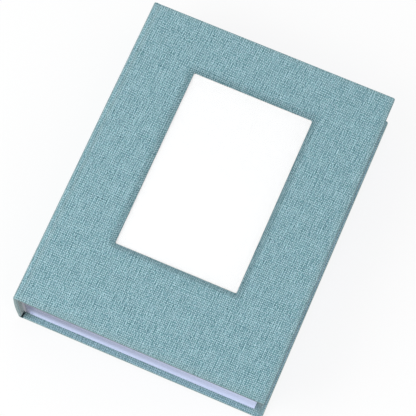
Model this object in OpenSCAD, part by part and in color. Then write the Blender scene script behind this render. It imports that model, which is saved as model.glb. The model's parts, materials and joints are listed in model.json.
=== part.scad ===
// Scrapbook album: a linen-covered case of three boards around a block of thick white leaves,
// with a glazed photo window in the front cover and a pocket for the photo card behind it.
// The album lies closed on its back cover. +X runs from the spine to the fore edge,
// +Y from the tail to the head, +Z from the back cover to the front cover.

/* [Case] */
// Width of a cover, from the spine's edge to the fore edge
cover_w = 203; // [170:1:300]
// Height of the covers and the spine, tail to head
cover_h = 262; // [230:1:340]
// Thickness of the closed album over both covers
album_t = 55; // [45:1:75]
// Thickness of the greyboard in the covers
board_t = 2.4; // [1.8:0.1:3]
// Thickness of the book linen
linen_t = 0.5; // [0.4:0.05:0.6]
// Radius of a cover's corners
corner_r = 1.5; // [1:0.5:4]
// Width of the linen turned over onto the inside of a board
turn_in = 15; // [10:1:20]
// Width of the cloth joint between the spine's edge and a cover's board
joint_w = 4; // [3.9:0.1:6]

/* [Spine] */
// Thickness of the spine board at its long edges
spine_board_t = 1.2; // [1:0.1:2.7]
// How far the outside of the spine curves outwards at its middle
spine_bulge = 1.2; // [0.4:0.1:2]

/* [Window] */
// Width of the photo window
window_w = 99; // [80:1:110]
// Height of the photo window
window_h = 150; // [120:1:160]
// How far the window's middle lies above the middle of the cover
window_up = 14; // [0:1:15]
// Width of the linen slope that runs down to the window on each side
window_slope = 4.5; // [2:0.5:8]

/* [Photo pocket] */
// Width of the photo card
card_w = 101.6; // [95:0.2:112]
// Height of the photo card
card_h = 152.4; // [140:0.2:165]
// Thickness of the photo card
card_t = 0.3; // [0.2:0.05:0.32]
// Width of the pocket's glued borders
pocket_border = 8; // [5:1:12]

/* [Leaves] */
// How far the leaves stand back from the covers at head and tail
tail_recess = 4.6; // [2:0.2:8]
// How far the leaves stand back from the covers at the fore edge
fore_recess = 8; // [3:0.5:10]
// Air between one closed leaf and the next
leaf_gap = 0.1; // [0.08:0.01:0.2]

/* [Hidden] */
$fn = 96;
spine_fn = 720;
eps = 0.01;
leaf_count = 24;
leaf_names = [for (i = [1 : leaf_count]) str("leaf_", i < 10 ? "0" : "", i)];

// the case: every cover is drawn lying on its outer face at z = 0
cover_x0 = (spine_bulge - cover_w) / 2;
cover_x1 = cover_x0 + cover_w;
cover_mid = (cover_x0 + cover_x1) / 2;
board_x0 = cover_x0 + joint_w;
lined_t = linen_t + board_t;
cover_t = lined_t + linen_t;
endpaper_t = 0.3;
inner_t = cover_t + endpaper_t;

// the photo window and its pocket
slope_side = linen_t / sin(atan2(lined_t, window_slope));
film_t = 0.15;
film_border = 6;
spacer_t = 0.4;
pocket_t = 0.3;
pocket_inner = inner_t + spacer_t + pocket_t;
card_room = 0.5;
pocket_y0 = window_up - card_h / 2 - card_room - pocket_border;
pocket_y1 = window_up + card_h / 2 - 5;
pocket_half = card_w / 2 + card_room + pocket_border;
notch_r = 12;

// the spine: its outer face is a shallow arc through both covers' corners
spine_r = (pow(album_t / 2, 2) + pow(spine_bulge, 2)) / (2 * spine_bulge);
spine_cx = cover_x0 + linen_t - spine_bulge + spine_r;
spine_gap = 0.2;
spine_z0 = linen_t + spine_gap;
spine_z1 = album_t - spine_z0;
spine_in = cover_x0 + linen_t + spine_board_t;
lining_t = 0.5;
lining_x = spine_in + linen_t;
strip_t = 2.2;
strip_x = lining_x + lining_t;
hinge_room = 0.4;
leaf_x = strip_x + strip_t + hinge_room;

// the leaves: a thin hinge of paper by the spine widens to the full leaf
block_z0 = inner_t + 0.1;
block_z1 = album_t - pocket_inner - 0.1;
leaf_pitch = (block_z1 - block_z0) / leaf_count;
leaf_t = leaf_pitch - leaf_gap;
leaf_h = cover_h - 2 * tail_recess;
leaf_len = cover_x1 - fore_recess - leaf_x;
leaf_hinge_t = 0.2;
leaf_start = 0.3;
leaf_bend = 2;
leaf_full = 8;

// A flat plate with square corners at the spine and round ones at the fore edge
module plate(x0, x1, h, z0, z1, r) {
    translate([0, -h / 2, z0])
        linear_extrude(z1 - z0) {
            translate([x0, 0])
                square([x1 - x0 - r, h]);
            translate([x0, r])
                square([x1 - x0, h - 2 * r]);
            for (y = [r, h - r])
                translate([x1 - r, y])
                    circle(r);
        }
}

// A plain box, centred on y
module bar(x0, x1, h, z0, z1) {
    translate([x0, -h / 2, z0])
        cube([x1 - x0, h, z1 - z0]);
}

// Turns a cover drawn from its outer face into the front cover
module as_front() {
    translate([0, 0, album_t])
        mirror([0, 0, 1])
            children();
}

// The sloping window, wider at the cover's outer face, grown sideways by grow
module window_well(grow, z0, z1) {
    function side(size, z) = size / 2 + grow + window_slope * (1 - z / lined_t);
    translate([cover_mid, window_up, 0])
        intersection() {
            rotate([90, 0, 0])
                linear_extrude(2 * cover_h, center = true)
                    polygon([
                        [-side(window_w, z0), z0], [side(window_w, z0), z0],
                        [side(window_w, z1), z1], [-side(window_w, z1), z1]
                    ]);
            rotate([90, 0, 90])
                linear_extrude(2 * cover_w, center = true)
                    polygon([
                        [-side(window_h, z0), z0], [side(window_h, z0), z0],
                        [side(window_h, z1), z1], [-side(window_h, z1), z1]
                    ]);
        }
}

// A box around the middle of the window
module window_box(w, h, z0, z1) {
    translate([cover_mid - w / 2, window_up - h / 2, z0])
        cube([w, h, z1 - z0]);
}

module cover_board() {
    plate(board_x0, cover_x1 - linen_t, cover_h - 2 * linen_t, linen_t, lined_t,
        corner_r - linen_t);
}

// Linen over the outer face, round three edges and turned in; it runs on to the spine
module cover_linen() {
    difference() {
        union() {
            plate(cover_x0, cover_x1, cover_h, 0, linen_t, corner_r);
            plate(board_x0, cover_x1, cover_h, 0, cover_t, corner_r);
        }
        plate(board_x0 - eps, cover_x1 - linen_t, cover_h - 2 * linen_t, linen_t, lined_t,
            corner_r - linen_t);
        bar(board_x0 - eps, cover_x1 - turn_in, cover_h - 2 * turn_in, lined_t - eps,
            cover_t + 1);
    }
}

// Paper over the inside of a cover: it laps the turned-in linen and fills the space between
module cover_endpaper() {
    bar(board_x0 + 2, cover_x1 - fore_recess - 1.5, cover_h - 2 * (tail_recess + 1.5), cover_t,
        inner_t);
    bar(board_x0 + 2, cover_x1 - turn_in - 0.1, cover_h - 2 * turn_in - 0.2, lined_t,
        cover_t + eps);
}

module back_board() {
    color([0.62, 0.60, 0.56])
        cover_board();
}

module back_linen() {
    color([0.50, 0.67, 0.70])
        cover_linen();
}

module back_endpaper() {
    color([0.95, 0.94, 0.91])
        cover_endpaper();
}

module front_board() {
    color([0.62, 0.60, 0.56])
        as_front()
            difference() {
                cover_board();
                window_well(slope_side, -1, lined_t + 1);
            }
}

module front_linen() {
    color([0.50, 0.67, 0.70])
        as_front()
            difference() {
                union() {
                    cover_linen();
                    window_well(slope_side, linen_t / 2, lined_t);
                }
                window_well(0, -1, lined_t + 1);
            }
}

module window_film() {
    color([0.90, 0.95, 0.97, 0.35])
        as_front()
            window_box(window_w + 2 * film_border, window_h + 2 * film_border, lined_t,
                lined_t + film_t);
}

module front_endpaper() {
    color([0.95, 0.94, 0.91])
        as_front()
            difference() {
                cover_endpaper();
                window_box(window_w + 2 * film_border + 0.4, window_h + 2 * film_border + 0.4,
                    lined_t - 1, lined_t + film_t);
                window_box(window_w, window_h, lined_t - 1, inner_t + 1);
            }
}

// A border glued on three sides of the pocket, open towards the head
module pocket_spacer() {
    color([0.90, 0.89, 0.86])
        as_front()
            difference() {
                translate([cover_mid - pocket_half, pocket_y0, inner_t])
                    cube([2 * pocket_half, pocket_y1 - pocket_y0, spacer_t]);
                translate([cover_mid - pocket_half + pocket_border, pocket_y0 + pocket_border,
                    inner_t - 1])
                    cube([2 * (pocket_half - pocket_border), cover_h, spacer_t + 2]);
            }
}

// The pocket's back, with a thumb notch at the open side
module pocket_sheet() {
    color([0.95, 0.94, 0.91])
        as_front()
            translate([cover_mid, 0, inner_t + spacer_t])
                difference() {
                    translate([-pocket_half, pocket_y0, 0])
                        cube([2 * pocket_half, pocket_y1 - pocket_y0, pocket_t]);
                    translate([0, pocket_y1, -1])
                        cylinder(pocket_t + 2, r = notch_r);
                }
}

module photo_card() {
    color([1, 1, 1])
        as_front()
            window_box(card_w, card_h, inner_t + (spacer_t - card_t) / 2,
                inner_t + (spacer_t + card_t) / 2);
}

// The space inside an arc of radius r, as far in as x1, over the height of the spine
module spine_bar(r, x1, h, z0, z1) {
    rotate([90, 0, 0])
        linear_extrude(h, center = true)
            intersection() {
                translate([spine_cx, album_t / 2])
                    circle(r, $fn = spine_fn);
                translate([cover_x0 - 10, z0])
                    square([x1 - cover_x0 + 10, z1 - z0]);
            }
}

module spine_board() {
    color([0.62, 0.60, 0.56])
        spine_bar(spine_r, spine_in, cover_h - 2 * linen_t, spine_z0, spine_z1);
}

// Linen over the spine's curve, turned in at head and tail
module spine_linen() {
    color([0.50, 0.67, 0.70])
        difference() {
            spine_bar(spine_r + linen_t, lining_x, cover_h, spine_z0, spine_z1);
            spine_bar(spine_r, spine_in, cover_h - 2 * linen_t, spine_z0 - 1, spine_z1 + 1);
            bar(spine_in - eps, lining_x + 1, cover_h - 2 * turn_in, 0, album_t);
        }
}

// Cloth along the inside of the spine, over the turned-in linen
module spine_lining() {
    color([0.52, 0.58, 0.56]) {
        bar(lining_x, strip_x, cover_h - 2, block_z0 + 0.4, block_z1 - 0.4);
        bar(spine_in, lining_x + eps, cover_h - 2 * turn_in - 0.2, block_z0 + 0.4,
            block_z1 - 0.4);
    }
}

// The glued strip that holds the leaves' hinges
module binding_strip() {
    color([0.86, 0.85, 0.80])
        bar(strip_x, strip_x + strip_t, leaf_h, block_z0, block_z1);
}

// Leaf i, counted from the back cover: thin by the spine so that it bends there
module leaf(i) {
    color([0.93, 0.93, 0.96])
        translate([leaf_x, 0, block_z0 + leaf_pitch * (i - 0.5)])
            rotate([90, 0, 0])
                linear_extrude(leaf_h, center = true)
                    polygon([
                        [leaf_start, -leaf_hinge_t / 2], [leaf_bend, -leaf_hinge_t / 2],
                        [leaf_full, -leaf_t / 2], [leaf_len, -leaf_t / 2],
                        [leaf_len, leaf_t / 2], [leaf_full, leaf_t / 2],
                        [leaf_bend, leaf_hinge_t / 2], [leaf_start, leaf_hinge_t / 2]
                    ]);
}

back_board();
back_linen();
back_endpaper();
spine_board();
spine_linen();
spine_lining();
binding_strip();
front_board();
front_linen();
front_endpaper();
window_film();
pocket_spacer();
pocket_sheet();
photo_card();
for (i = [1 : leaf_count])
    leaf(i);
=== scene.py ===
"""Looks of the scrapbook album: its linen, boards, photo window, leaves, floor, lights and camera.

All places come from the frame, in metres. The album lies closed on its back cover, with its
spine at -X, its tail at -Y and its front cover up.
"""

import json
import math
import random

import bmesh
import bpy
from mathutils import Matrix, Vector


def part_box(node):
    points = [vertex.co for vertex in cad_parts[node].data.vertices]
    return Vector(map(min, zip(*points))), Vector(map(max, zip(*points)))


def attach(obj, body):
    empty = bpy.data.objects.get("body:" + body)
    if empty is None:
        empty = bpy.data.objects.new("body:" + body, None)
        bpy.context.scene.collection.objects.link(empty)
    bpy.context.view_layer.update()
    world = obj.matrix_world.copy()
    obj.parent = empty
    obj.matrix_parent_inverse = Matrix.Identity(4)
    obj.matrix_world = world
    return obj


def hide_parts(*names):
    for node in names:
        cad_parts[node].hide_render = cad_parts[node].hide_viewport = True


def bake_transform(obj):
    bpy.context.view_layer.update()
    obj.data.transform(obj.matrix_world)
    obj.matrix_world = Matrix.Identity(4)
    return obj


MM = 0.001

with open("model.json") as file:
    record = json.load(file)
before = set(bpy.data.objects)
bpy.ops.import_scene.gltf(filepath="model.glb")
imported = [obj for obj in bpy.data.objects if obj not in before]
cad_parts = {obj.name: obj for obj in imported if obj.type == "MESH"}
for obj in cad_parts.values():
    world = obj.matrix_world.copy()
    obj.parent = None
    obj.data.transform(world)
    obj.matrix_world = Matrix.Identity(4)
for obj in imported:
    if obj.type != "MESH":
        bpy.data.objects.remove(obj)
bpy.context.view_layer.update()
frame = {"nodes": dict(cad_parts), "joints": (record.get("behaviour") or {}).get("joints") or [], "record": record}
nodes = frame["nodes"]
joints = {j["name"]: j for j in frame["joints"]}

# ---------------------------------------------------------------- sizes from the frame

(X0, Y0, _), (X1, Y1, TOP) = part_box("front_linen")
BOARD_X0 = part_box("front_board")[0][0]
LINEN_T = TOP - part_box("front_board")[1][2]
COVER_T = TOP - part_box("front_linen")[0][2]
SPINE_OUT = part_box("spine_linen")[0][0]
SPINE_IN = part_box("spine_linen")[1][0]
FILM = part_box("window_film")

# The film reaches this far under the cover on every side of the window.
FILM_BORDER = 6 * MM
WINDOW_X = [FILM[0][0] + FILM_BORDER, FILM[1][0] - FILM_BORDER]
WINDOW_Y = [FILM[0][1] + FILM_BORDER, FILM[1][1] - FILM_BORDER]
WINDOW_DEPTH = TOP - FILM[1][2]

# The spine's outside is an arc that stands out by its bulge at half height.
SPINE_BULGE = X0 - SPINE_OUT
SPINE_R = ((TOP / 2) ** 2 + SPINE_BULGE ** 2) / (2 * SPINE_BULGE)

# ---------------------------------------------------------------- sizes of the cloth

# How far the cloth is turned in behind a board, and at the two ends of a joint.
TURN_IN = 15 * MM
JOINT_TURN_IN = 4.2 * MM
# Radii of the cloth round a board's outer and inner edges, and at a cover's corners.
EDGE_R = 1.0 * MM
UNDER_R = 0.7 * MM
CORNER_R = 1.6 * MM
# The outer corner between spine and joint, the thickness of a joint's folded ends and their
# edge radius as a share of the boards', and how fast the ends thin away from spine and cover.
JOINT_R = 2.4 * MM
JOINT_FOLD = 0.9 * MM
FOLD_R_SHARE = 0.4
SPINE_THINS = 2.5
COVER_THINS = 2.2
# The roll down into the window: its width, the window's corner radius and how fast that grows.
ROLL_W = 6.0 * MM
WINDOW_R = 1.1 * MM
ROLL_SPREAD = 0.8
# Half the sides of the closing face in the middle of the back cover.
CENTRE_X = 8 * MM
CENTRE_Y = 12 * MM

# Steps of the meshes: along a cover's sides, round a corner, from a cover's edge to its middle,
# down the roll, round a board's edge (outer rounding, side, inner rounding, turned-in part),
# along the strips of the spine and the joints, up the spine and across a joint.
SIDE_X = 26
SIDE_Y = 34
CORNER = 6
FACE_ROWS = 10
ROLL_ROWS = 10
EDGE_STEPS = (6, 3, 5, 4)
STRIP_STEPS = 60
SPINE_STEPS = 30
JOINT_STEPS = 8

# Points closer together than this are one point, and no edge has a side lower than this.
WELD = 0.02 * MM
LEAST_SIDE = 0.05 * MM

# Painted shade on the roll into the window: how dark it is at the window's tail and spine sides
# and at its head and fore sides, and how it fades outward.
ROLL_SHADE = (0.9, 1.5)
ROLL_FADE = 0.7
# Painted shade on a cover's turned edges: how much darker the fore side is, and how much sooner its painted shade
# starts.
FORE_DARKER = 0.35
FORE_SOONER = 0.5
# Wear with painted light and shade where the cloth is turned in, at the start of an edge and under
# a strip's end, as shares of a piece's most worn place. The last one starts at this share of the depth.
TURNED = 0.55
EDGE_WEAR_AND_HIGHLIGHT = 0.3
UNDER_WEAR_AND_SHADE = 0.6
UNDER_FROM = 0.9


# ---------------------------------------------------------------- meshes


def add_mesh(name, points, faces, material, cloth=None, smooth=True, weld=True):
    """A mesh object.

    cloth holds four numbers for each point: its place on the flat cloth (two), how much shade is
    painted on it (below 0, painted light instead) and how much wear with painted shading it has.
    """
    mesh = bpy.data.meshes.new(name)
    mesh.from_pydata([tuple(p) for p in points], [], faces)
    if cloth is not None:
        place = mesh.attributes.new("cloth", "FLOAT_VECTOR", "POINT")
        place.data.foreach_set("vector", [value for point in cloth for value in point[:3]])
        rubbed = mesh.attributes.new("rubbed", "FLOAT", "POINT")
        rubbed.data.foreach_set("value", [point[3] for point in cloth])
    if weld:
        bm = bmesh.new()
        bm.from_mesh(mesh)
        bmesh.ops.remove_doubles(bm, verts=bm.verts, dist=WELD)
        bmesh.ops.dissolve_degenerate(bm, edges=bm.edges, dist=WELD / 2)
        bmesh.ops.recalc_face_normals(bm, faces=bm.faces)
        bm.to_mesh(mesh)
        bm.free()
    mesh.polygons.foreach_set("use_smooth", [smooth] * len(mesh.polygons))
    obj = bpy.data.objects.new(name, mesh)
    bpy.context.scene.collection.objects.link(obj)
    mesh.materials.append(material)
    return obj


def thicken(obj, thickness):
    """Gives a sheet its thickness inwards and applies it, so that the mesh is closed."""
    solidify = obj.modifiers.new("cloth", "SOLIDIFY")
    solidify.thickness = thickness
    solidify.offset = -1
    solidify.use_even_offset = False
    bpy.context.view_layer.objects.active = obj
    with bpy.context.temp_override(object=obj, active_object=obj, selected_objects=[obj]):
        bpy.ops.object.modifier_apply(modifier=solidify.name)


def grid_faces(rows, columns, closed=False):
    """Quads between rows of points, each row with the same number of columns."""
    faces = []
    last = columns if closed else columns - 1
    for r in range(rows - 1):
        for c in range(last):
            n = (c + 1) % columns
            faces.append((r * columns + c, r * columns + n, (r + 1) * columns + n,
                          (r + 1) * columns + c))
    return faces


def steps(a, b, n):
    """n + 1 even places from a to b."""
    return [a + (b - a) * i / n for i in range(n + 1)]


def edge_profile(edge_r, height, under_r, turn_in):
    """How linen goes round a board's edge, from its face to behind it.

    Each point is (inset, depth, length of cloth, how far on the side, from 0 to 1).
    """
    outer, side, inner, turned = EDGE_STEPS
    out = [(edge_r, 0.0, 0.0, 0.0)]
    for angle in steps(0, math.pi / 2, outer)[1:]:
        out.append((edge_r * (1 - math.sin(angle)), edge_r * (1 - math.cos(angle)),
                    edge_r * angle, 1 - math.cos(angle)))
    run = out[-1][2]
    straight = height - edge_r - under_r
    for part in steps(0, straight, side)[1:]:
        out.append((0.0, edge_r + part, run + part, 1.0))
    run += straight
    for angle in steps(0, math.pi / 2, inner)[1:]:
        out.append((under_r * (1 - math.cos(angle)), height - under_r * (1 - math.sin(angle)),
                    run + under_r * angle, math.cos(angle)))
    run += under_r * math.pi / 2
    for part in steps(under_r, turn_in, turned)[1:]:
        out.append((part, height, run + part - under_r, TURNED))
    return out


# ---------------------------------------------------------------- outlines of the covers

# The points of a cover's ring that lie on its tail, fore and head sides.
EDGE_COUNT = 2 * (SIDE_X + 1) + SIDE_Y + 1 + 2 * (CORNER - 1)


def corner_points(cx, cy, r, start):
    """The points inside a quarter turn, without its two ends."""
    return [(cx + r * math.cos(a), cy + r * math.sin(a))
            for a in steps(start, start + math.pi / 2, CORNER)[1:-1]]


def ring(x0, x1, y0, y1, r_fore, r_spine):
    """A closed rounded rectangle from the spine's tail corner round by the fore edge."""
    tail = [(x, y0) for x in steps(x0 + r_spine, x1 - r_fore, SIDE_X)]
    fore = [(x1, y) for y in steps(y0 + r_fore, y1 - r_fore, SIDE_Y)]
    head = [(x, y1) for x in steps(x1 - r_fore, x0 + r_spine, SIDE_X)]
    spine = [(x0, y) for y in steps(y1 - r_spine, y0 + r_spine, SIDE_Y)]
    return (tail + corner_points(x1 - r_fore, y0 + r_fore, r_fore, -math.pi / 2)
            + fore + corner_points(x1 - r_fore, y1 - r_fore, r_fore, 0)
            + head + corner_points(x0 + r_spine, y1 - r_spine, r_spine, math.pi / 2)
            + spine + corner_points(x0 + r_spine, y0 + r_spine, r_spine, math.pi))


def edge_path(inset):
    """The tail, fore and head sides of a cover, set in by inset, as (point, outward)."""
    r = max(CORNER_R, inset)
    points = ring(BOARD_X0, X1 - inset, Y0 + inset, Y1 - inset, r - inset, 0)[:EDGE_COUNT]
    turn = [math.pi / 2 * i / CORNER for i in range(1, CORNER)]
    outward = [(0.0, -1.0)] * (SIDE_X + 1)
    outward += [(math.sin(a), -math.cos(a)) for a in turn]
    outward += [(1.0, 0.0)] * (SIDE_Y + 1)
    outward += [(math.cos(a), math.sin(a)) for a in turn]
    outward += [(0.0, 1.0)] * (SIDE_X + 1)
    return list(zip(points, outward))


def mix_rings(a, b, t):
    """The ring that lies t of the way from ring a to ring b."""
    return [(p[0] + (q[0] - p[0]) * t, p[1] + (q[1] - p[1]) * t) for p, q in zip(a, b)]


def roll_shade(x, y, share):
    """How much shade is painted on the roll into the window, at a share of its width out from it."""
    across = x - min(max(x, WINDOW_X[0] + WINDOW_R), WINDOW_X[1] - WINDOW_R)
    along = y - min(max(y, WINDOW_Y[0] + WINDOW_R), WINDOW_Y[1] - WINDOW_R)
    far = max(across, along, 0.0) / math.hypot(across, along)
    near_shade, far_shade = ROLL_SHADE
    return (1 - share) ** ROLL_FADE * (near_shade + (far_shade - near_shade) * far)


def edge_shade(on_side, fore):
    """How much shade is painted on a cover's turned edge. fore is 1 on the fore side and 0 at tail and head."""
    return (1 + FORE_DARKER * fore) * on_side ** (1 - FORE_SOONER * fore)


def cover_linen(name, z_face, side, window, rubbed, dark, fore_painted_light, material):
    """Linen over one cover: its face, the three turned edges and, in front, the window.

    side is 1 for a face that looks up and -1 for one that looks down. The next three numbers give
    the three edges wear with painted shading, painted shade, and painted light on the fore one.
    """
    points, cloth, faces = [], [], []

    def add_row(plan, z, flat=None, painted_shades=None, edge_wear_and_shading=0.0):
        points.extend((x, y, z) for x, y in plan)
        painted_shades = painted_shades or [0.0] * len(plan)
        cloth.extend((*place, fold, edge_wear_and_shading) for place, fold in zip(flat or plan, painted_shades))

    face_ring = ring(BOARD_X0, X1 - EDGE_R, Y0 + EDGE_R, Y1 - EDGE_R, CORNER_R - EDGE_R, 0)
    count = len(face_ring)
    if window:
        (wx0, wx1), (wy0, wy1) = WINDOW_X, WINDOW_Y

        def window_ring(e):
            r = WINDOW_R + ROLL_SPREAD * e
            return ring(wx0 - e, wx1 + e, wy0 - e, wy1 + e, r, r)

        inner = window_ring(ROLL_W)
    else:
        inner = ring(-CENTRE_X, CENTRE_X, -CENTRE_Y, CENTRE_Y, 0, 0)
    for t in steps(0, 1, FACE_ROWS):
        add_row(mix_rings(face_ring, inner, t), z_face, edge_wear_and_shading=0.0 if t else rubbed * EDGE_WEAR_AND_HIGHLIGHT)
    rows = FACE_ROWS + 1
    if window:
        for share in steps(1, 0, ROLL_ROWS)[1:]:
            depth = WINDOW_DEPTH * (1 - math.sin(math.pi / 2 * share))
            plan = window_ring(ROLL_W * share)
            # Shade is painted on the roll, darker at the window's head and fore sides.
            add_row(plan, z_face - side * depth, painted_shades=[roll_shade(*p, share) for p in plan])
        rows += ROLL_ROWS
    faces += grid_faces(rows, count, closed=True)
    if not window:
        faces.append(tuple(range((rows - 1) * count, rows * count)))

    start = len(points)
    profile = edge_profile(EDGE_R, COVER_T, UNDER_R, TURN_IN)
    base = edge_path(EDGE_R)
    for inset, depth, run, on_side in profile:
        path = edge_path(inset)
        flat = []
        for (p, n), (b, _) in zip(path, base):
            flat.append((b[0] + run * n[0] if n[0] else p[0],
                         b[1] + run * n[1] if n[1] else p[1]))
        # Painted shade on the turned edges, more on the fore side, and painted light on the back cover's fore
        # edge.
        add_row([p for p, _ in path], z_face - side * depth, flat,
                painted_shades=[dark * edge_shade(on_side, n[0])
                       - fore_painted_light * n[0] * on_side ** (1 - FORE_SOONER) for _, n in path],
                edge_wear_and_shading=rubbed * max(on_side, EDGE_WEAR_AND_HIGHLIGHT))
    faces += [tuple(start + i for i in f) for f in grid_faces(len(profile), EDGE_COUNT)]
    if side < 0:
        cloth = [(2 * X0 - TOP - u, *rest) for u, *rest in cloth]
    return sheet_mesh(name, points, faces, cloth, material, Vector((0, 0, side)))


def sheet_mesh(name, points, faces, cloth, material, outward):
    """A single layer of linen, turned so that its outer side faces outward, then thickened."""
    obj = add_mesh(name, points, faces, material, cloth)
    mesh = obj.data
    total = sum((p.normal * p.area for p in mesh.polygons), Vector())
    if total.dot(outward) < 0:
        mesh.flip_normals()
    thicken(obj, LINEN_T)
    return obj


# ---------------------------------------------------------------- spine and joints


def spine_x(z):
    """The outside of the spine at height z."""
    return SPINE_OUT + SPINE_R - math.sqrt(SPINE_R ** 2 - (z - TOP / 2) ** 2)


def wrapped_strip(name, section, rubbed, material, outward, crease=0.0, turn_in=TURN_IN):
    """Linen with the section's outline over the whole height, turned in at tail and head.

    section holds (x, z, inward x, inward z, board thickness, edge radius, length of cloth).
    crease paints shade on the two ends towards the inside.
    """
    points, cloth = [], []
    for x, z, nx, nz, height, radius, run in section:
        under_r = min(UNDER_R, height - radius - LEAST_SIDE)
        wrap = edge_profile(radius, height, under_r, turn_in)
        ends = []
        for inset, depth, length, on_side in wrap:
            # Painted shade on the ends, deepest towards the inside.
            dark = crease * min(1.0, depth / height) ** 2
            least = UNDER_WEAR_AND_SHADE if depth > UNDER_FROM * height else EDGE_WEAR_AND_HIGHLIGHT
            ends.append((inset, x + nx * depth, z + nz * depth, radius - length, dark,
                         rubbed * max(on_side, least)))
        tail = [((px, Y0 + inset, pz), (run, Y0 + flat, dark, edge_wear_and_shading))
                for inset, px, pz, flat, dark, edge_wear_and_shading in reversed(ends)]
        head = [((px, Y1 - inset, pz), (run, Y1 - flat, dark, edge_wear_and_shading))
                for inset, px, pz, flat, dark, edge_wear_and_shading in ends]
        face = [((x, y, z), (run, y, 0.0, 0.0))
                for y in steps(Y0 + radius, Y1 - radius, STRIP_STEPS)[1:-1]]
        for point, place in tail + face + head:
            points.append(point)
            cloth.append(place)
    columns = len(points) // len(section)
    return sheet_mesh(name, points, grid_faces(len(section), columns), cloth, material, outward)


def spine_section():
    """Up the spine, between the two joints' outer corners."""
    out = []
    for z in steps(JOINT_R, TOP - JOINT_R, SPINE_STEPS):
        x = spine_x(z)
        out.append((x, z, 1.0, 0.0, SPINE_IN - x, EDGE_R, X0 - (TOP - z)))
    return out


def joint_section(front):
    """From the spine round the corner and over the joint to the cover's board.

    The ends are as thick as the boards beside them and thin down to the fold between.
    """
    out = []
    lean = spine_x(TOP - JOINT_R) - X0
    board = SPINE_IN - spine_x(TOP - JOINT_R)
    for angle in steps(0, math.pi / 2, JOINT_STEPS):
        share = angle / (math.pi / 2)
        x = X0 + JOINT_R * (1 - math.cos(angle))
        z = TOP - JOINT_R * (1 - math.sin(angle))
        height = JOINT_FOLD + (board - JOINT_FOLD) * max(0.0, 1 - SPINE_THINS * share) ** 2
        out.append((x + lean * (1 - share) ** 2, z, math.cos(angle), -math.sin(angle), height,
                    x - (TOP - z)))
    for x in steps(X0 + JOINT_R, BOARD_X0, JOINT_STEPS)[1:]:
        share = (x - X0 - JOINT_R) / (BOARD_X0 - X0 - JOINT_R)
        near = max(0.0, 1 - COVER_THINS * (1 - share))
        height = JOINT_FOLD + (COVER_T - JOINT_FOLD) * near ** 2
        out.append((x, TOP, 0.0, -1.0, height, x))
    section = []
    for x, z, nx, nz, height, run in out:
        thick = (height - JOINT_FOLD) / (COVER_T - JOINT_FOLD)
        radius = EDGE_R * (FOLD_R_SHARE + (1 - FOLD_R_SHARE) * thick)
        if not front:
            z, nz, run = TOP - z, -nz, 2 * X0 - TOP - run
        section.append((x, z, nx, nz, height, min(radius, EDGE_R), run))
    return section


# ---------------------------------------------------------------- leaves

# A leaf's thin paper hinge: its start beyond the axis, its half thickness, its end, and where
# the leaf is at its full thickness.
HINGE_GAP = 0.3 * MM
HINGE_HALF = 0.1 * MM
HINGE_END = 2.0 * MM
HINGE_FULL = 8.0 * MM
LEAF_BEVEL = 0.08 * MM
BEVEL_FROM = math.radians(40)
# A leaf's flat faces are those whose normals are at least this upright.
UPRIGHT = 0.5
# How far the leaves' edges lie from even, in millimetres, as (least, most).
FORE_OFF = (-0.12, 0.10)
TAIL_OFF = (-0.07, 0.08)
HEAD_OFF = (-0.12, 0.10)
LEAF_SEED = 24


def round_edges(obj, width):
    """Rounds an object's sharp edges with a modifier."""
    bevel = obj.modifiers.new("edges", "BEVEL")
    bevel.width = width
    bevel.segments = 2
    bevel.limit_method = "ANGLE"
    return bevel


def leaf_mesh(name, node, axis, face_paper, edge_paper, rng):
    """One thick leaf: a thin paper hinge that widens to the card, with its own small offsets."""
    (_, y0, z0), (x1, y1, z1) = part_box(node)
    hinge_x, _, hinge_z = axis
    half = (z1 - z0) / 2
    x1 += rng.uniform(*FORE_OFF) * MM
    y0 += rng.uniform(*TAIL_OFF) * MM
    y1 += rng.uniform(*HEAD_OFF) * MM
    upper = [(HINGE_GAP, HINGE_HALF), (HINGE_END, HINGE_HALF), (HINGE_FULL, half)]
    outline = [(hinge_x + a, hinge_z + b) for a, b in upper] + [(x1, hinge_z + half)]
    outline += [(x, 2 * hinge_z - z) for x, z in reversed(outline)]
    count = len(outline)
    points = [(x, y, z) for y in (y0, y1) for x, z in outline]
    faces = grid_faces(2, count, closed=True)
    faces += [tuple(range(count)), tuple(range(2 * count - 1, count - 1, -1))]
    obj = add_mesh(name, points, faces, face_paper, smooth=False, weld=False)
    obj.data.materials.append(edge_paper)
    bm = bmesh.new()
    bm.from_mesh(obj.data)
    bmesh.ops.recalc_face_normals(bm, faces=bm.faces)
    for face in bm.faces:
        # The thin hinge's faces take the edge paper too: painted shade between the leaves.
        on_hinge = face.calc_center_median().x < hinge_x + HINGE_FULL
        face.material_index = 1 if abs(face.normal.z) < UPRIGHT or on_hinge else 0
    bm.to_mesh(obj.data)
    bm.free()
    bevel = round_edges(obj, LEAF_BEVEL)
    bevel.angle_limit = BEVEL_FROM
    bevel.material = 1
    return obj


# ---------------------------------------------------------------- materials


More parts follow.
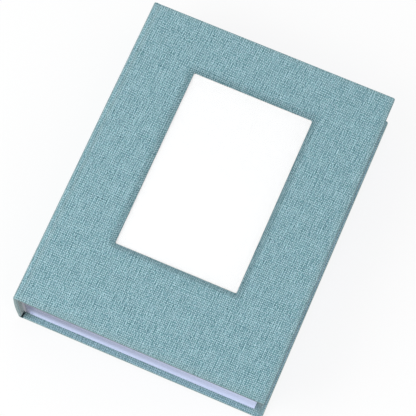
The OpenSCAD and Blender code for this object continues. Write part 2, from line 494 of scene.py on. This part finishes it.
class Graph:
    """A material's nodes. Each method returns an output socket."""

    def __init__(self, name):
        self.material = bpy.data.materials.new(name)
        self.material.use_nodes = True
        self.tree = self.material.node_tree
        self.shader = self.tree.nodes["Principled BSDF"]

    def node(self, kind, **settings):
        made = self.tree.nodes.new(kind)
        for key, value in settings.items():
            setattr(made, key, value)
        return made

    def put(self, socket, value):
        if isinstance(value, bpy.types.NodeSocket):
            self.tree.links.new(value, socket)
        else:
            socket.default_value = value

    def set(self, **inputs):
        """Fills the shader's inputs, named with _ for the spaces."""
        for key, value in inputs.items():
            self.put(self.shader.inputs[key.replace("_", " ")], value)

    def math(self, operation, *values):
        made = self.node("ShaderNodeMath", operation=operation)
        for socket, value in zip(made.inputs, values):
            self.put(socket, value)
        return made.outputs[0]

    def add(self, a, b):
        return self.math("ADD", a, b)

    def times(self, a, b):
        return self.math("MULTIPLY", a, b)

    def centred(self, value):
        """A value between 0 and 1, moved down to lie about 0."""
        return self.add(value, -0.5)

    def fit(self, value, low, high, to_low=0.0, to_high=1.0, smooth=False):
        """value taken from low..high to to_low..to_high, and held at the ends."""
        made = self.node("ShaderNodeMapRange")
        made.interpolation_type = "SMOOTHSTEP" if smooth else "LINEAR"
        for socket, item in zip(made.inputs, (value, low, high, to_low, to_high)):
            self.put(socket, item)
        return made.outputs[0]

    def combine(self, x, y, z=0.0):
        """A vector. In a flat pattern's place, z is the pattern's seed."""
        made = self.node("ShaderNodeCombineXYZ")
        for socket, value in zip(made.inputs, (x, y, z)):
            self.put(socket, value)
        return made.outputs[0]

    def separate(self, vector):
        made = self.node("ShaderNodeSeparateXYZ")
        self.put(made.inputs[0], vector)
        return made.outputs

    def noise(self, vector, detail=2.0, roughness=0.5):
        made = self.node("ShaderNodeTexNoise")
        self.put(made.inputs["Vector"], vector)
        self.put(made.inputs["Scale"], 1.0)
        self.put(made.inputs["Detail"], detail)
        self.put(made.inputs["Roughness"], roughness)
        return made.outputs[0]

    def random(self, vector):
        made = self.node("ShaderNodeTexWhiteNoise", noise_dimensions="3D")
        self.put(made.inputs["Vector"], vector)
        return made.outputs["Value"]

    def ramp(self, factor, *stops):
        """A colour ramp through (place, linear colour) stops."""
        made = self.node("ShaderNodeValToRGB")
        elements = made.color_ramp.elements
        while len(elements) < len(stops):
            elements.new(0.5)
        for element, (place, colour) in zip(elements, stops):
            element.position = place
            element.color = (*colour, 1.0)
        self.put(made.inputs[0], factor)
        return made.outputs[0]

    def mix(self, factor, a, b):
        made = self.node("ShaderNodeMix", data_type="RGBA")
        for socket, value in ((made.inputs[0], factor), (made.inputs[6], a), (made.inputs[7], b)):
            self.put(socket, (*value, 1.0) if isinstance(value, tuple) else value)
        return made.outputs[2]

    def bump(self, height, distance, strength):
        made = self.node("ShaderNodeBump")
        self.put(made.inputs["Height"], height)
        self.put(made.inputs["Distance"], distance)
        self.put(made.inputs["Strength"], strength)
        self.put(self.shader.inputs["Normal"], made.outputs[0])

    def attribute(self, name, output):
        return self.node("ShaderNodeAttribute", attribute_name=name).outputs[output]

    def object_place(self, scale):
        """Where the point is on the piece, in units of 1 / scale metres."""
        made = self.node("ShaderNodeVectorMath", operation="SCALE")
        self.put(made.inputs[0], self.node("ShaderNodeTexCoord").outputs["Object"])
        self.put(made.inputs["Scale"], scale)
        return made.outputs[0]


def linear(*srgb):
    """A colour given as 0..255 sRGB, as linear light."""
    return tuple(((c / 255 + 0.055) / 1.055) ** 2.4 for c in srgb)


def scaled(colour, share):
    """A lighter or darker colour, held at white."""
    return tuple(min(1.0, c * share) for c in colour)


# Most of a noise's values lie between these.
NOISE_SPAN = (0.2, 0.8)

# The linen's threads: their pitch, how far they stray in pitches, and the scale of that.
WARP = 0.95 * MM
WEFT = 0.88 * MM
LINEN_WANDER = 1.4
CLOTH_WANDER = 0.8
SWAY_ACROSS = 0.11
SWAY_ALONG = 0.045
# A thread's streaks, longest first, as (change per crossing thread, strength). In the noise that
# makes them, neighbours lie a thread step apart, less a streak step for each shorter streak, and
# each length of streak has its own seed.
STREAKS = ((0.03, 0.4), (0.14, 0.6), (0.5, 0.7))
THREAD_STEP = 7.31
STREAK_STEP = 1.7
SEED_STEP = 3.0

# The linen's tone, 0 dark to 1 light, and what each cause adds to it. The crowns count from the
# weave's mean height, and the scales are per metre.
LINEN_TONE = 0.5
WARP_STREAKS = 1.85
WEFT_STREAKS = 1.2
CHECKER = 0.75
CELLS = 0.15
CROWNS = 0.35
MEAN_HEIGHT = 0.6
FIBRES = 0.35
FIBRE_SCALE = 9000.0
BROAD = 0.48
BROAD_ACROSS = 170.0
BROAD_ALONG = 110.0
# Painted shade where the cloth is worn, and painted light where it is partly worn, as at the start of an edge's
# rounding.
PAINTED_EDGE_SHADE = -0.06
PAINTED_LIGHT_ON_WEAR = 0.24
# Painted shade: the cloth darkens towards the fore side.
PAINTED_FORE_SHADE = -0.035

# Its colours, and how strongly they mix in. A noise drifts between greener and bluer: it moves on
# by a hue step from thread to thread, and its values in the hue span go from one to the other.
LINEN_DARK = linear(48, 90, 100)
LINEN_MID = linear(117, 161, 172)
LINEN_LIGHT = linear(188, 220, 229)
GREENER = linear(112, 176, 170)
BLUER = linear(144, 168, 190)
HUE_DRIFT = 0.2
HUE_STEP = 3.3
HUE_SPAN = (0.3, 0.7)
# The grey of the edges and spine ends: partly wear, partly painted shade.
WEAR_AND_SHADE_COLOUR = linear(130, 146, 144)
WEAR_AND_SHADE_GREY = 0.7
# The colour of painted light on the back cover's rounded fore edge.
PAINTED_LIGHT_COLOUR = linear(165, 172, 158)
# The colour of painted shade on the cloth, and how strongly it mixes in.
PAINTED_SHADE_COLOUR = linear(30, 44, 48)
PAINTED_SHADE_STRENGTH = 0.28

# The leaves' cut edges: the painted shadow of the front cover on the upper ones at the spine and at
# the fore edge, the share of the block's height where it is full, and where the crease's painted shade fades out.
UPPER_PAINTED_SHADOW = (0.93, 0.32)
PAINTED_SHADOW_REACH = 0.42
CREASE_NEAR = 1.0 * MM
CREASE_FAR = 4.0 * MM

# The floor's grey and how much it glows.
FLOOR_TONE = 0.17
FLOOR_GLOW = 0.80


def weave(g, across, along, pitch_a, pitch_b, wander):
    """A plain weave's threads at a place on the cloth, given in metres.

    wander is how far the threads stray from side to side, in pitches. Returns three pairs, for
    the thread along the cloth and the one across it: the place counted in threads, the thread's
    number and how high its crown is here (0 to 1). Last comes which one lies on top (0 or 1).
    """
    a = g.times(across, 1 / pitch_a)
    b = g.times(along, 1 / pitch_b)
    sway_a = g.noise(g.combine(g.times(a, SWAY_ACROSS), g.times(b, SWAY_ALONG), 3.0))
    sway_b = g.noise(g.combine(g.times(a, SWAY_ALONG), g.times(b, SWAY_ACROSS), 9.0))
    places = [g.add(place, g.times(g.centred(sway), wander))
              for place, sway in ((a, sway_a), (b, sway_b))]
    numbers = [g.math("FLOOR", place) for place in places]
    crowns = []
    for place, number in zip(places, numbers):
        offset = g.centred(g.math("SUBTRACT", place, number))
        crowns.append(g.math("COSINE", g.times(offset, math.pi)))
    over = g.math("FLOORED_MODULO", g.add(*numbers), 2.0)
    return places, numbers, crowns, over


def thread_tone(g, number, along, seed):
    """How a thread differs from the two beside it, in streaks of three lengths."""

    def own(shift):
        count = g.add(number, shift)
        tone = 0.0
        for step, (drift, amount) in enumerate(STREAKS):
            spread = THREAD_STEP - STREAK_STEP * step
            place = g.combine(g.times(count, spread), g.times(along, drift),
                              seed + SEED_STEP * step)
            tone = g.add(tone, g.times(g.centred(g.noise(place)), amount))
        return tone

    beside = g.times(g.add(own(-1.0), own(1.0)), 0.5)
    return g.math("SUBTRACT", own(0.0), beside)


def linen_material():
    """Book linen: pale weft over darker warp, streaky, grey at the edges from wear and painted shade."""
    g = Graph("album_linen")
    u, v, fold = g.separate(g.attribute("cloth", "Vector"))
    rubbed = g.attribute("rubbed", "Fac")
    (a, b), (warp, weft), (crown_a, crown_b), over = weave(g, u, v, WARP, WEFT, LINEN_WANDER)
    warp_height = g.times(crown_a, g.add(g.times(crown_b, 0.5), 0.5))
    weft_height = g.times(crown_b, g.add(g.times(crown_a, 0.5), 0.5))
    under = g.math("SUBTRACT", 1.0, over)
    height = g.add(g.times(warp_height, under), g.times(weft_height, over))

    fibre = g.noise(g.combine(g.times(u, FIBRE_SCALE), g.times(v, FIBRE_SCALE)), roughness=0.7)
    broad = g.noise(g.combine(g.times(u, BROAD_ACROSS), g.times(v, BROAD_ALONG)))
    cell = g.random(g.combine(warp, weft, 11.0))
    parts = (
        (thread_tone(g, warp, b, 1.0), WARP_STREAKS),
        (thread_tone(g, weft, a, 40.0), WEFT_STREAKS),
        (g.centred(over), CHECKER),
        (g.centred(cell), CELLS),
        (g.add(height, -MEAN_HEIGHT), CROWNS),
        (g.centred(fibre), FIBRES),
        (g.centred(broad), BROAD),
        (rubbed, PAINTED_EDGE_SHADE),
        (g.times(rubbed, g.math("SUBTRACT", 1.0, rubbed)), PAINTED_LIGHT_ON_WEAR),
        (g.fit(u, X0, X1), PAINTED_FORE_SHADE),
    )
    tone = LINEN_TONE
    for value, amount in parts:
        tone = g.add(tone, g.times(value, amount))
    colour = g.ramp(tone, (0.0, LINEN_DARK), (0.5, LINEN_MID), (1.0, LINEN_LIGHT))
    hue_place = g.combine(g.times(warp, HUE_STEP), g.times(weft, HUE_STEP), 21.0)
    hue = g.fit(g.noise(hue_place), *HUE_SPAN)
    colour = g.mix(hue, g.mix(HUE_DRIFT, colour, GREENER), g.mix(HUE_DRIFT, colour, BLUER))
    # The edges go grey: wear and painted shade.
    colour = g.mix(g.times(rubbed, WEAR_AND_SHADE_GREY), colour, WEAR_AND_SHADE_COLOUR)
    # Painted light where the cloth's shade value is below 0.
    colour = g.mix(g.fit(fold, 0.0, -1.0), colour, PAINTED_LIGHT_COLOUR)
    # Painted shade at the window's roll, the covers' turned edges and the joints' inner ends.
    colour = g.mix(g.times(fold, PAINTED_SHADE_STRENGTH), colour, PAINTED_SHADE_COLOUR)
    g.set(Base_Color=colour, Roughness=g.fit(fibre, *NOISE_SPAN, 0.82, 0.97),
          Specular_IOR_Level=0.25, Sheen_Weight=0.10, Sheen_Roughness=0.5)
    g.bump(g.add(height, g.times(fibre, 0.15)), distance=0.16 * MM, strength=0.8)
    return g.material


def paper_material(name, colour, roughness=0.75, grain=0.04, bump=0.02):
    """Plain paper: faint cloudy formation, fine fibres and a tooth of bump millimetres."""
    g = Graph(name)
    cloud = g.noise(g.object_place(180.0), detail=4.0, roughness=0.6)
    fibre = g.noise(g.object_place(2600.0), detail=3.0, roughness=0.65)
    tone = g.add(g.times(g.centred(cloud), 0.6), g.times(g.centred(fibre), 0.4))
    dark, light = scaled(colour, 1 - 2 * grain), scaled(colour, 1 + grain)
    g.set(Base_Color=g.mix(g.fit(tone, -0.25, 0.25), dark, light),
          Roughness=g.fit(fibre, *NOISE_SPAN, roughness - 0.06, roughness + 0.08),
          Specular_IOR_Level=0.3)
    g.bump(g.add(fibre, g.times(cloud, 0.6)), distance=bump * MM, strength=0.6)
    return g.material


def edge_material(name, colour, shaded, crease):
    """Cut edges of the leaves: layers along the sheet and small rough spots.

    The upper leaves have a painted shadow of the front cover in the colour shaded, most near the
    spine. Right beside the spine, the edges have the colour crease: painted shade in the crease.
    """
    g = Graph(name)
    (x0, _, z0), (x1, _, _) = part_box("leaf_01")
    z1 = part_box("leaf_24")[1][2]
    x, y, z = g.separate(g.object_place(1.0))
    layer_place = g.combine(g.times(x, 50.0), g.times(y, 50.0), g.times(z, 9000.0))
    spot_place = g.combine(g.times(x, 1600.0), g.times(y, 1600.0), g.times(z, 2400.0))
    layers = g.noise(layer_place, detail=3.0)
    spots = g.noise(spot_place, detail=3.0)
    tone = g.add(g.times(g.centred(layers), 0.8), g.times(g.centred(spots), 0.5))
    plain = g.mix(g.fit(tone, -0.3, 0.3), scaled(colour, 0.86), scaled(colour, 1.06))
    # Painted shadow of the front cover on the upper leaves.
    painted_shadow = g.times(g.fit(z, z0, z0 + PAINTED_SHADOW_REACH * (z1 - z0), smooth=True),
                   g.fit(x, x0, x1, *UPPER_PAINTED_SHADOW))
    # Painted shade in the crease beside the spine.
    near = g.fit(x, x0 + CREASE_NEAR, x0 + CREASE_FAR, 1.0, 0.0, smooth=True)
    g.set(Base_Color=g.mix(near, g.mix(painted_shadow, plain, shaded), crease),
          Roughness=g.fit(spots, *NOISE_SPAN, 0.75, 0.95), Specular_IOR_Level=0.2)
    g.bump(g.add(layers, spots), distance=0.05 * MM, strength=0.7)
    return g.material


def cloth_material(name, colour, pitch, bump=0.08):
    """A fine plain-woven cloth with its threads along the piece's y and z axes.

    pitch is in metres and bump, the height of the threads, in millimetres.
    """
    g = Graph(name)
    _, y, z = g.separate(g.object_place(1.0))
    _, (warp, weft), (crown_a, crown_b), over = weave(g, y, z, pitch, pitch, CLOTH_WANDER)
    height = g.math("MAXIMUM", g.times(crown_a, g.math("SUBTRACT", 1.0, over)),
                    g.times(crown_b, over))
    fibre = g.noise(g.object_place(5000.0), roughness=0.6)
    thread = g.add(g.times(g.random(g.combine(warp, 0.0, 2.0)), 0.5),
                   g.times(g.random(g.combine(0.0, weft, 6.0)), 0.5))
    tone = g.add(g.times(height, 0.5), g.add(g.times(fibre, 0.4), g.times(thread, 0.4)))
    g.set(Base_Color=g.mix(g.fit(tone, 0.25, 1.0), scaled(colour, 0.72), scaled(colour, 1.16)),
          Roughness=g.fit(fibre, *NOISE_SPAN, 0.85, 0.98), Specular_IOR_Level=0.2)
    g.bump(height, distance=bump * MM, strength=0.7)
    return g.material


def board_material(name, colour):
    """Grey pulp board with flecks."""
    g = Graph(name)
    cloud = g.noise(g.object_place(300.0), detail=4.0, roughness=0.6)
    fleck = g.noise(g.object_place(1500.0), roughness=0.8)
    tone = g.add(g.times(cloud, 0.6), g.times(fleck, 0.6))
    g.set(Base_Color=g.mix(g.fit(tone, 0.4, 0.75), scaled(colour, 0.65), colour),
          Roughness=g.fit(fleck, *NOISE_SPAN, 0.85, 0.98), Specular_IOR_Level=0.2)
    g.bump(g.add(cloud, fleck), distance=0.06 * MM, strength=0.6)
    return g.material


def film_material():
    """Clear film: almost nothing but its gloss and a few faint waves."""
    g = Graph("clear_window_film")
    wave = g.noise(g.object_place(28.0))
    rub = g.noise(g.object_place(420.0), detail=3.0, roughness=0.6)
    g.set(Base_Color=g.mix(rub, (0.93, 0.95, 0.96), (0.99, 0.99, 1.0)),
          Roughness=g.fit(rub, 0.3, 0.7, 0.06, 0.14), Alpha=0.16, Specular_IOR_Level=0.6)
    g.bump(wave, distance=0.25 * MM, strength=0.4)
    return g.material


def floor_material():
    """A pale light table: it glows a little, so shadows on it stay faint."""
    g = Graph("pale_floor")
    tone = g.noise(g.object_place(6.0))
    g.set(Base_Color=g.mix(tone, (FLOOR_TONE,) * 3, (FLOOR_TONE * 1.05,) * 3),
          Roughness=0.9, Specular_IOR_Level=0.1, Emission_Color=(1.0, 1.0, 1.0, 1.0),
          Emission_Strength=FLOOR_GLOW)
    return g.material


# ---------------------------------------------------------------- finishes

BOARD_BEVELS = {"spine_board": 0.55 * MM, "front_board": 0.3 * MM, "back_board": 0.3 * MM,
                "binding_strip": 0.25 * MM}

linen = linen_material()
leaf_face = paper_material("white_leaf_paper", (0.90, 0.90, 0.93))
# The cut edges are a darker, bluer copy of the white leaf paper: partly their tint, partly painted shade.
leaf_edge = edge_material("leaf_cut_edge", (0.62, 0.70, 0.95), shaded=(0.22, 0.24, 0.33),
                          crease=(0.42, 0.45, 0.56))
finishes = {
    "greyboard": board_material("grey_pulp_board", (0.40, 0.37, 0.33)),
    "endpaper": paper_material("endpaper", (0.88, 0.86, 0.82)),
    "lining_cloth": cloth_material("lining_cloth", (0.33, 0.39, 0.38), pitch=0.6 * MM),
    "binding_glue_cloth": cloth_material("binding_cloth", (0.42, 0.43, 0.48), pitch=0.8 * MM),
    "clear_film": film_material(),
    "photo_card": paper_material("white_photo_card", (0.96, 0.96, 0.96), roughness=0.45,
                                 grain=0.015, bump=0.01),
}

for part in frame["record"]["subparts"]:
    if part["material_slot"] in finishes:
        obj = nodes[part["node"]]
        obj.data.materials.clear()
        obj.data.materials.append(finishes[part["material_slot"]])

for name, width in BOARD_BEVELS.items():
    round_edges(nodes[name], width)

# ---------------------------------------------------------------- pieces

front = cover_linen("front_cover_linen", TOP, side=1, window=True, rubbed=1.0, dark=1.2,
                    fore_painted_light=0.0, material=linen)
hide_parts("front_linen")
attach(front, "front_cover")

back = cover_linen("back_cover_linen", 0.0, side=-1, window=False, rubbed=0.9, dark=0.0,
                   fore_painted_light=0.5, material=linen)
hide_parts("back_linen")
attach(back, "back_cover")

spine = wrapped_strip("spine_cover_linen", spine_section(), rubbed=1.2, material=linen,
                      outward=Vector((-1, 0, 0)))
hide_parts("spine_linen")
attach(spine, "spine")

front_joint = wrapped_strip("front_joint_linen", joint_section(front=True), rubbed=1.0,
                            material=linen, outward=Vector((-0.2, 0, 1)),
                            turn_in=JOINT_TURN_IN)
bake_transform(front_joint)

# The back joint's ends get strong painted shade in the groove.
back_joint = wrapped_strip("back_joint_linen", joint_section(front=False), rubbed=0.3,
                           material=linen, outward=Vector((-0.2, 0, -1)), crease=3.2,
                           turn_in=JOINT_TURN_IN)
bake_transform(back_joint)

rng = random.Random(LEAF_SEED)
for name in sorted(n for n in nodes if n.startswith("leaf_")):
    axis = joints[name + "_hinge"]["pos_m"]
    leaf = leaf_mesh(name + "_card", name, axis, leaf_face, leaf_edge, rng)
    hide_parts(name)
    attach(leaf, name)

# ---------------------------------------------------------------- floor, light and camera

FLOOR_SIZE = 6.0
SKY = 0.84
# The lamps: where they hang, their power in watts, their size, and the place they point at.
KEY_AT = (-1.1, -0.8, 1.0)
KEY = 13.0
FILL_AT = (1.2, -0.4, 0.6)
FILL = 3.0
LAMP_SIZE = 1.2
LAMP_AIM = (0.0, 0.0, 0.03)

bpy.ops.mesh.primitive_plane_add(size=FLOOR_SIZE, location=(0, 0, 0))
floor = bpy.context.object
floor.name = "floor"
floor.data.materials.append(floor_material())

scene = bpy.context.scene
scene.view_settings.view_transform = "Standard"
scene.world = bpy.data.worlds.new("studio")
scene.world.use_nodes = True
sky = scene.world.node_tree.nodes["Background"]
sky.inputs["Color"].default_value = (1.0, 1.0, 1.0, 1.0)
sky.inputs["Strength"].default_value = SKY


def area_light(name, place, power):
    lamp = bpy.data.lights.new(name, "AREA")
    lamp.size = LAMP_SIZE
    lamp.energy = power
    obj = bpy.data.objects.new(name, lamp)
    scene.collection.objects.link(obj)
    obj.location = place
    ray = Vector(LAMP_AIM) - Vector(place)
    obj.rotation_euler = ray.to_track_quat("-Z", "Y").to_euler()


area_light("key", KEY_AT, KEY)
area_light("fill", FILL_AT, FILL)

# The camera looks at the target from this side (0 is from the tail), height and distance. Its
# sensor and lens are in millimetres.
AZIMUTH = math.radians(20.71)
ELEVATION = math.radians(72.01)
ROLL = math.radians(2.69)
DISTANCE = 1.495
TARGET = Vector((-1.77 * MM, 8.13 * MM, 0))
SENSOR = 36
LENS = 164.5

away = Vector((math.sin(AZIMUTH) * math.cos(ELEVATION),
               -math.cos(AZIMUTH) * math.cos(ELEVATION), math.sin(ELEVATION)))
right = Vector((math.cos(AZIMUTH), math.sin(AZIMUTH), 0))
up = away.cross(right)
turned_right = math.cos(ROLL) * right + math.sin(ROLL) * up
turned_up = -math.sin(ROLL) * right + math.cos(ROLL) * up

camera_data = bpy.data.cameras.new("camera")
camera_data.sensor_width = SENSOR
camera_data.lens = LENS
camera = bpy.data.objects.new("camera", camera_data)
scene.collection.objects.link(camera)
camera.matrix_world = Matrix.Translation(TARGET + away * DISTANCE) @ Matrix(
    (turned_right, turned_up, away)).transposed().to_4x4()
scene.camera = camera
